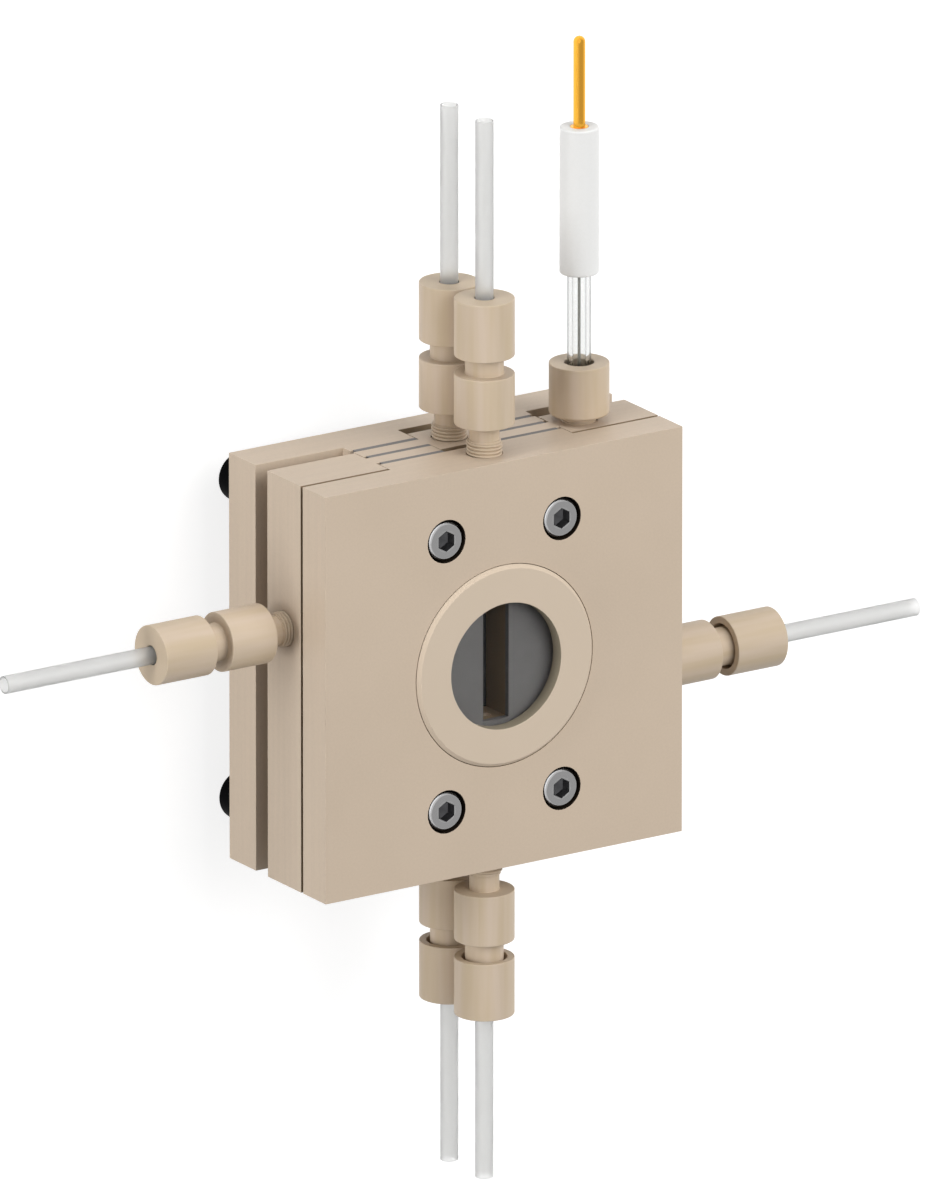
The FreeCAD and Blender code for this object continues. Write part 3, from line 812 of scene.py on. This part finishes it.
for corner in ("top_left", "top_right", "bottom_left", "bottom_right"):
    low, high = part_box(f"clamp_knob_{corner}")
    stud_low, stud_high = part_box(f"clamp_stud_{corner}")
    stud_radius = (stud_high.x - stud_low.x) / 2
    knob_radius = (high.x - low.x) / 2
    length = high.z - low.z
    piece = turned_piece(f"knob_{corner}", [
        (stud_radius, 0), (knob_radius, 0), (knob_radius, -length), (knob_radius * DIMPLE_RIM, -length),
        (knob_radius * DIMPLE_FLOOR, KNOB_DIMPLE - length), (0, KNOB_DIMPLE - length),
        (0, stud_low.z - high.z), (stud_radius, stud_low.z - high.z),
    ], Vector(((low.x + high.x) / 2, (low.y + high.y) / 2, high.z)), upward, moulded_black, KNOB_EDGE,
        KNOB_SEGMENTS)
    place_piece(piece, f"clamp_screw_{corner}", "knobs", f"clamp_knob_{corner}")


# Adapters
# Six adapters of beige plastic, each turned in one piece: a threaded stub that screws into its port, a
# neck, a collar to grip, and a second threaded end for the cap nut. Bar stock leaves faint long streaks.

PORT_DEPTH = 7.0 * MM
STUB_RADIUS = 3.0 * MM
STUB_ROOT = 2.72 * MM
STUB_END = 2.5 * MM
STUB_PITCH = 0.6 * MM
NECK_RADIUS = 2.5 * MM
COLLAR_START = 5.2 * MM
COLLAR_END = 13.8 * MM
COLLAR_RADIUS = 5.0 * MM
RELIEF_RADIUS = 3.2 * MM
RELIEF_END = 17.8 * MM
SPIGOT_RADIUS = 3.3 * MM
SPIGOT_ROOT = 2.95 * MM
SPIGOT_END = 22.1 * MM
SPIGOT_PITCH = 1.0 * MM
SEAT_RADIUS = 2.6 * MM
SEAT_DEPTH = 1.6 * MM
SOCKET_RADIUS = 1.55 * MM
SOCKET_FLOOR = 10.0 * MM
CHANNEL_RADIUS = 0.8 * MM
TURNED_EDGE = 0.15 * MM
THREAD_STEPS = 48
SCREWED_TO = math.radians(67)
STREAK_WIDTH = 2.4 * MM
STREAK_LENGTH = 30 * MM

# Turned bar: the beige in long faint streaks, satin, with fine rings round it, drawn coarser than real
peek_turned, tree = new_material("peek_turned_bar")
streaks = variation(tree, STREAK_WIDTH, (1.0, STREAK_WIDTH / STREAK_LENGTH, 1.0), unrolled=True)
shades = add(tree, "ShaderNodeMapRange", {"Value": streaks, "From Min": 0.35, "From Max": 0.65})
colour = add(tree, "ShaderNodeMix", {"Factor": shades, "A": linear("CAB79C"), "B": linear("D1BFAB")},
             data_type="RGBA")
finish_surface(tree, {"Base Color": colour.outputs["Result"], "Roughness": 0.45, "IOR": 1.5,
                      "Specular IOR Level": 0.3},
               variation(tree, TURNING_STEP, RINGS, unrolled=True, detail=1.0), 0.1)

# A thread: a ridge of four-sided section wound round the root of the turned body that is passed in
threaded, given = new_tree("thread on a turned piece", body="Object", root="Float", ridge="Float",
                           pitch="Float", turns="Float", start="Float", material="Material")
climb = add(threaded, "ShaderNodeMath", {0: given["pitch"], 1: given["turns"]}, operation="MULTIPLY")
helix = add(threaded, "GeometryNodeCurveSpiral", {
    "Resolution": THREAD_STEPS, "Rotations": given["turns"], "Start Radius": given["root"],
    "End Radius": given["root"], "Height": climb})
upright = add(threaded, "GeometryNodeSetCurveNormal", {"Curve": helix}, mode="Z_UP")
section = add(threaded, "GeometryNodeCurvePrimitiveCircle", {"Resolution": 4, "Radius": given["ridge"]})
ridge = add(threaded, "GeometryNodeCurveToMesh", {"Curve": upright, "Profile Curve": section,
                                                  "Fill Caps": True})
lift = add(threaded, "ShaderNodeCombineXYZ", {"Z": given["start"]})
raised = add(threaded, "GeometryNodeSetPosition", {"Geometry": ridge, "Offset": lift})
source = add(threaded, "GeometryNodeObjectInfo", {"Object": given["body"]})
joined = add(threaded, "GeometryNodeJoinGeometry")
threaded.links.new(source.outputs["Geometry"], joined.inputs[0])
threaded.links.new(raised.outputs[0], joined.inputs[0])
end_tree(threaded, joined, given["material"])


def threaded_piece(name, body, root, crest, pitch, start, end, material):
    """The body with a thread wound on it between two heights, as one new piece."""
    scene.collection.objects.link(body)
    height = crest - root
    piece = baked(name, threaded, body=body, root=root, ridge=height, pitch=pitch,
                  turns=(end - start - 2 * height) / pitch, start=start + height, material=material)
    bpy.data.objects.remove(body)
    return piece


def moved_copy(name, pattern, point, way, spin=0.0):
    """A copy of a piece made on the Z axis, spun about it, then put at a point and turned along way."""
    mesh = pattern.data.copy()
    mesh.name = name
    mesh.transform(standing(point, way) @ Matrix.Rotation(spin, 4, "Z"))
    return bpy.data.objects.new(name, mesh)


# Each port's axis, and the level on it that the fitting is measured from
ports = {}
for mount in frame["record"]["mounts"]:
    if mount["name"].startswith("tube_"):
        port = mount["name"][len("tube_"):]
        way = Vector(mount["axis"])
        low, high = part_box(f"adapter_{port}")
        ports[port] = ((low + high) / 2 - way * (SPIGOT_END - PORT_DEPTH) / 2, way)

body = turned_piece("adapter_body", [
    (CHANNEL_RADIUS, -PORT_DEPTH), (STUB_ROOT, -PORT_DEPTH), (STUB_ROOT, STUB_END), (NECK_RADIUS, STUB_END),
    (NECK_RADIUS, COLLAR_START), (COLLAR_RADIUS, COLLAR_START), (COLLAR_RADIUS, COLLAR_END),
    (RELIEF_RADIUS, COLLAR_END), (RELIEF_RADIUS, RELIEF_END), (SPIGOT_ROOT, RELIEF_END),
    (SPIGOT_ROOT, SPIGOT_END), (SEAT_RADIUS, SPIGOT_END), (SOCKET_RADIUS, SPIGOT_END - SEAT_DEPTH),
    (SOCKET_RADIUS, SOCKET_FLOOR), (CHANNEL_RADIUS, SOCKET_FLOOR),
], origin, upward, peek_turned, TURNED_EDGE)
stub = threaded_piece("adapter_stub", body, STUB_ROOT, STUB_RADIUS, STUB_PITCH, -PORT_DEPTH, STUB_END,
                      peek_turned)
adapter = threaded_piece("adapter_pattern", stub, SPIGOT_ROOT, SPIGOT_RADIUS, SPIGOT_PITCH, RELIEF_END,
                         SPIGOT_END, peek_turned)
for turn, (port, (point, way)) in enumerate(ports.items()):
    place_piece(moved_copy(f"adapter_{port}_turned", adapter, point, way, turn * SCREWED_TO), "cell",
                "fittings", f"adapter_{port}")
bpy.data.objects.remove(adapter)


# Cap nuts
# A round beige nut on each adapter, turned from the same bar, with a wide mouth and a plain hole for
# the tube. Inside, its shoulder presses a small cone on the tube into the adapter's seat.

NUT_START = 16.9 * MM
NUT_END = 26.7 * MM
NUT_RADIUS = 5.0 * MM
MOUTH_RADIUS = 3.8 * MM
MOUTH_DEPTH = 2.0 * MM
THREAD_RADIUS = 3.35 * MM
SHOULDER = 22.85 * MM
HOLE_RADIUS = 1.62 * MM

nut = turned_piece("cap_nut_pattern", [
    (MOUTH_RADIUS, NUT_START), (NUT_RADIUS, NUT_START), (NUT_RADIUS, NUT_END), (HOLE_RADIUS, NUT_END),
    (HOLE_RADIUS, SHOULDER), (THREAD_RADIUS, SHOULDER), (THREAD_RADIUS, NUT_START + MOUTH_DEPTH),
    (MOUTH_RADIUS, NUT_START + MOUTH_DEPTH),
], origin, upward, peek_turned, TURNED_EDGE)
# The wall of the hole round the tube gets the darkest painted shade.
line_hole(nut, HOLE_RADIUS, peek_bored)
for turn, (port, (point, way)) in enumerate(ports.items()):
    place_piece(moved_copy(f"cap_nut_{port}_turned", nut, point, way, -turn * SCREWED_TO), f"nut_{port}",
                "fittings", f"cap_nut_{port}")
bpy.data.objects.remove(nut)


# Tubes
# A straight stub of thin-walled fluoropolymer tube in each fitting, cut off square. The plastic is
# milky and lets light through, so its cut end and its edges look brighter than its middle.

TUBE_RADIUS = 1.5 * MM
TUBE_BORE = 1.25 * MM
TUBE_START = 10.05 * MM
TUBE_EDGE = 0.05 * MM
TUBE_SEGMENTS = 64
DRAW_LINE = 0.3 * MM

# Extruded fluoropolymer: milky white, waxy, with faint long lines, drawn coarser than they are
milky_tube, tree = new_material("fluoropolymer_tube_milky")
drawn = variation(tree, DRAW_LINE, (1.0, 0.01, 1.0), unrolled=True, detail=1.0)
rough = add(tree, "ShaderNodeMapRange", {"Value": drawn, "To Min": 0.3, "To Max": 0.4})
finish_surface(tree, {"Base Color": linear("F6F6F5"), "IOR": 1.34, "Roughness": rough,
                      "Transmission Weight": 0.8}, drawn, 0.1, TOOL_MARK / 2)

for port, (point, way) in ports.items():
    low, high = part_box(f"tube_{port}")
    reach = max((low - point).dot(way), (high - point).dot(way))
    piece = turned_piece(f"tube_{port}_drawn", [
        (TUBE_BORE, TUBE_START), (TUBE_RADIUS, TUBE_START), (TUBE_RADIUS, reach), (TUBE_BORE, reach),
    ], point, way, milky_tube, TUBE_EDGE, TUBE_SEGMENTS)
    place_piece(piece, f"line_{port}", "tubes", f"tube_{port}")

# Ferrules: small cones turned from white fluoropolymer, on the tubes inside the nuts. White and waxy.
ferrule_white, tree = new_material("fluoropolymer_white_turned")
rough = add(tree, "ShaderNodeMapRange", {"Value": variation(tree, SPECK_SIZE), "To Min": 0.4,
                                         "To Max": 0.55})
finish_surface(tree, {"Base Color": linear("EBEAE6"), "IOR": 1.38, "Roughness": rough})
for port in ports:
    finish_node(f"ferrule_{port}", ferrule_white)


# Studs
# Four threaded studs of stainless steel, one moulded into each knob. Each goes through the back plate
# and screws into the middle plate, so that turning the knobs clamps the stack.

for corner in ("top_left", "top_right", "bottom_left", "bottom_right"):
    finish_node(f"clamp_stud_{corner}", stainless)


# Reference nut
# A large round nut over the hole of the reference electrode, turned from the same beige plastic. Its
# thread goes into the top edge, and a rubber ring under it seals round the glass.

REFERENCE_START = 1.2 * MM
REFERENCE_CHAMFER = 0.3 * MM
REFERENCE_TOP = 10.0 * MM
REFERENCE_RADIUS = 5.0 * MM
REFERENCE_MOUTH = 2.45 * MM
REFERENCE_MOUTH_DEPTH = 8.0 * MM
REFERENCE_GUIDE = 2.1 * MM
REFERENCE_DEPTH = 3.6 * MM

low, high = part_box("reference_nut")
reference_point = Vector(((low.x + high.x) / 2, high.y - REFERENCE_TOP, (low.z + high.z) / 2))
reference_way = Vector((0, 1, 0))
body = turned_piece("reference_nut_body", [
    (REFERENCE_GUIDE, -REFERENCE_DEPTH), (STUB_ROOT, -REFERENCE_DEPTH), (STUB_ROOT, REFERENCE_START),
    (REFERENCE_RADIUS - REFERENCE_CHAMFER, REFERENCE_START),
    (REFERENCE_RADIUS, REFERENCE_START + REFERENCE_CHAMFER), (REFERENCE_RADIUS, REFERENCE_TOP),
    (REFERENCE_MOUTH, REFERENCE_TOP), (REFERENCE_MOUTH, REFERENCE_TOP - REFERENCE_MOUTH_DEPTH),
    (REFERENCE_GUIDE, REFERENCE_TOP - REFERENCE_MOUTH_DEPTH),
], origin, upward, peek_turned, TURNED_EDGE)
nut = threaded_piece("reference_nut_pattern", body, STUB_ROOT, STUB_RADIUS, STUB_PITCH, -REFERENCE_DEPTH,
                     REFERENCE_START - STUB_PITCH, peek_turned)
place_piece(moved_copy("reference_nut_turned", nut, reference_point, reference_way), "reference_nut",
            "fittings", "reference_nut")
bpy.data.objects.remove(nut)


# Reference electrode
# A glass tube with a silver wire inside and a porous plug in its end. A white plastic handle is glued
# over its top, and carries the gold-plated pin that the measuring lead plugs onto.

TUBE_GLASS_RADIUS = 2.0 * MM
TUBE_GLASS_BORE = 1.15 * MM
TARNISH_SIZE = 0.6 * MM
SLEEVE_EDGE = 0.3 * MM
SLEEVE_RADIUS = 3.25 * MM
FLANGE_RADIUS = 1.52 * MM
FLANGE_HEIGHT = 0.4 * MM
STEM_RADIUS = 0.82 * MM
PIN_RADIUS = 1.0 * MM
PIN_EDGE = 0.06 * MM
PIN_SEGMENTS = 64
DOME_STEP = 15
FIT = 0.02 * MM

# Drawn glass: clear where one looks through it squarely. A grey painted into its colour at a grazing look,
# a painted shade, and the little light that the glass takes in on a long way through the wall, give the
# tube its dark side lines.
tube_glass, tree = new_material("borosilicate_glass_tube")
clear = add(tree, "ShaderNodeMix", {"Factor": variation(tree, WAVINESS), "A": linear("FFFFFF"),
                                    "B": linear("F9FBFA")}, data_type="RGBA")
# Painted shade: the colour turns grey where the look grazes the wall.
grazing = add(tree, "ShaderNodeLayerWeight", {"Blend": 0.5})
grazing_grey = add(tree, "ShaderNodeMapRange", {"Value": grazing.outputs["Facing"], "From Min": 0.42,
                                        "From Max": 0.55})
colour = add(tree, "ShaderNodeMix", {"Factor": grazing_grey, "A": clear.outputs["Result"],
                                     "B": linear("B4B8B8")}, data_type="RGBA")
glassy = finish_surface(tree, {"Base Color": colour.outputs["Result"], "IOR": 1.47, "Roughness": 0.0,
                               "Transmission Weight": 1.0})
smoke = add(tree, "ShaderNodeVolumeAbsorption", {"Color": linear("000000"), "Density": 80.0})
tree.links.new(smoke.outputs[0], glassy.inputs["Volume"])
low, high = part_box("electrode_glass")
glass_start, glass_top = low.y - reference_point.y, high.y - reference_point.y
piece = turned_piece("electrode_glass_tube", [
    (TUBE_GLASS_BORE, glass_start), (TUBE_GLASS_RADIUS, glass_start),
    (TUBE_GLASS_RADIUS, glass_top), (TUBE_GLASS_BORE, glass_top),
], reference_point, reference_way, tube_glass, GLASS_EDGE)
place_piece(piece, "reference_electrode", "glass_tube", "electrode_glass")

# Silver wire, tarnished: a dull grey metal with darker patches
silver_wire, tree = new_material("silver_wire_tarnished")
colour = add(tree, "ShaderNodeMix", {"Factor": variation(tree, TARNISH_SIZE, detail=3.0),
                                     "A": linear("9A9A94"), "B": linear("B0B0AA")}, data_type="RGBA")
finish_surface(tree, {"Base Color": colour.outputs["Result"], "Metallic": 1.0, "Roughness": 0.4})
finish_node("electrode_wire", silver_wire)
finish_node("electrode_frit", ferrule_white)

# Turned acetal: a clean, slightly warm white with a satin sheen, and rings drawn coarser than they are
handle_white, tree = new_material("acetal_white_turned")
colour = add(tree, "ShaderNodeMix", {"Factor": variation(tree, SPECK_SIZE), "A": linear("EEEEEC"),
                                     "B": linear("F3F3F2")}, data_type="RGBA")
finish_surface(tree, {"Base Color": colour.outputs["Result"], "Roughness": 0.4, "IOR": 1.48,
                      "Specular IOR Level": 0.4},
               variation(tree, TURNING_STEP, RINGS, unrolled=True, detail=1.0), 0.08)
low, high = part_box("electrode_sleeve")
sleeve_start, sleeve_top = low.y - reference_point.y, high.y - reference_point.y
flange_seat = sleeve_top - FLANGE_HEIGHT
glass_seat = TUBE_GLASS_RADIUS + FIT
piece = turned_piece("electrode_sleeve_turned", [
    (glass_seat, sleeve_start), (SLEEVE_RADIUS, sleeve_start), (SLEEVE_RADIUS, sleeve_top),
    (FLANGE_RADIUS, sleeve_top), (FLANGE_RADIUS, flange_seat), (STEM_RADIUS, flange_seat),
    (STEM_RADIUS, glass_top), (glass_seat, glass_top),
], reference_point, reference_way, handle_white, SLEEVE_EDGE)
place_piece(piece, "reference_electrode", "sleeve", "electrode_sleeve")

# Gold plating on polished brass: a deep yellow mirror, barely broken by the tool's rings
gold_plate, tree = new_material("gold_plated_brass_polished")
rings = variation(tree, BRUSH_LINE, RINGS, unrolled=True)
rough = add(tree, "ShaderNodeMapRange", {"Value": rings, "To Min": 0.12, "To Max": 0.22})
finish_surface(tree, {"Base Color": linear("FDBA44"), "Metallic": 1.0, "Roughness": rough})
low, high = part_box("electrode_pin")
pin_low, pin_top = low.y - reference_point.y, high.y - reference_point.y
dome = [(PIN_RADIUS * math.cos(climb), pin_top - PIN_RADIUS + PIN_RADIUS * math.sin(climb))
        for climb in map(math.radians, range(0, 90, DOME_STEP))]
piece = turned_piece("electrode_pin_gold", [
    (0, pin_low), (STEM_RADIUS - FIT, pin_low), (STEM_RADIUS - FIT, flange_seat),
    (FLANGE_RADIUS - FIT, flange_seat), (FLANGE_RADIUS - FIT, sleeve_top),
    (PIN_RADIUS, sleeve_top), *dome, (0, pin_top),
], reference_point, reference_way, gold_plate, PIN_EDGE, PIN_SEGMENTS)
place_piece(piece, "reference_electrode", "gold", "electrode_pin")
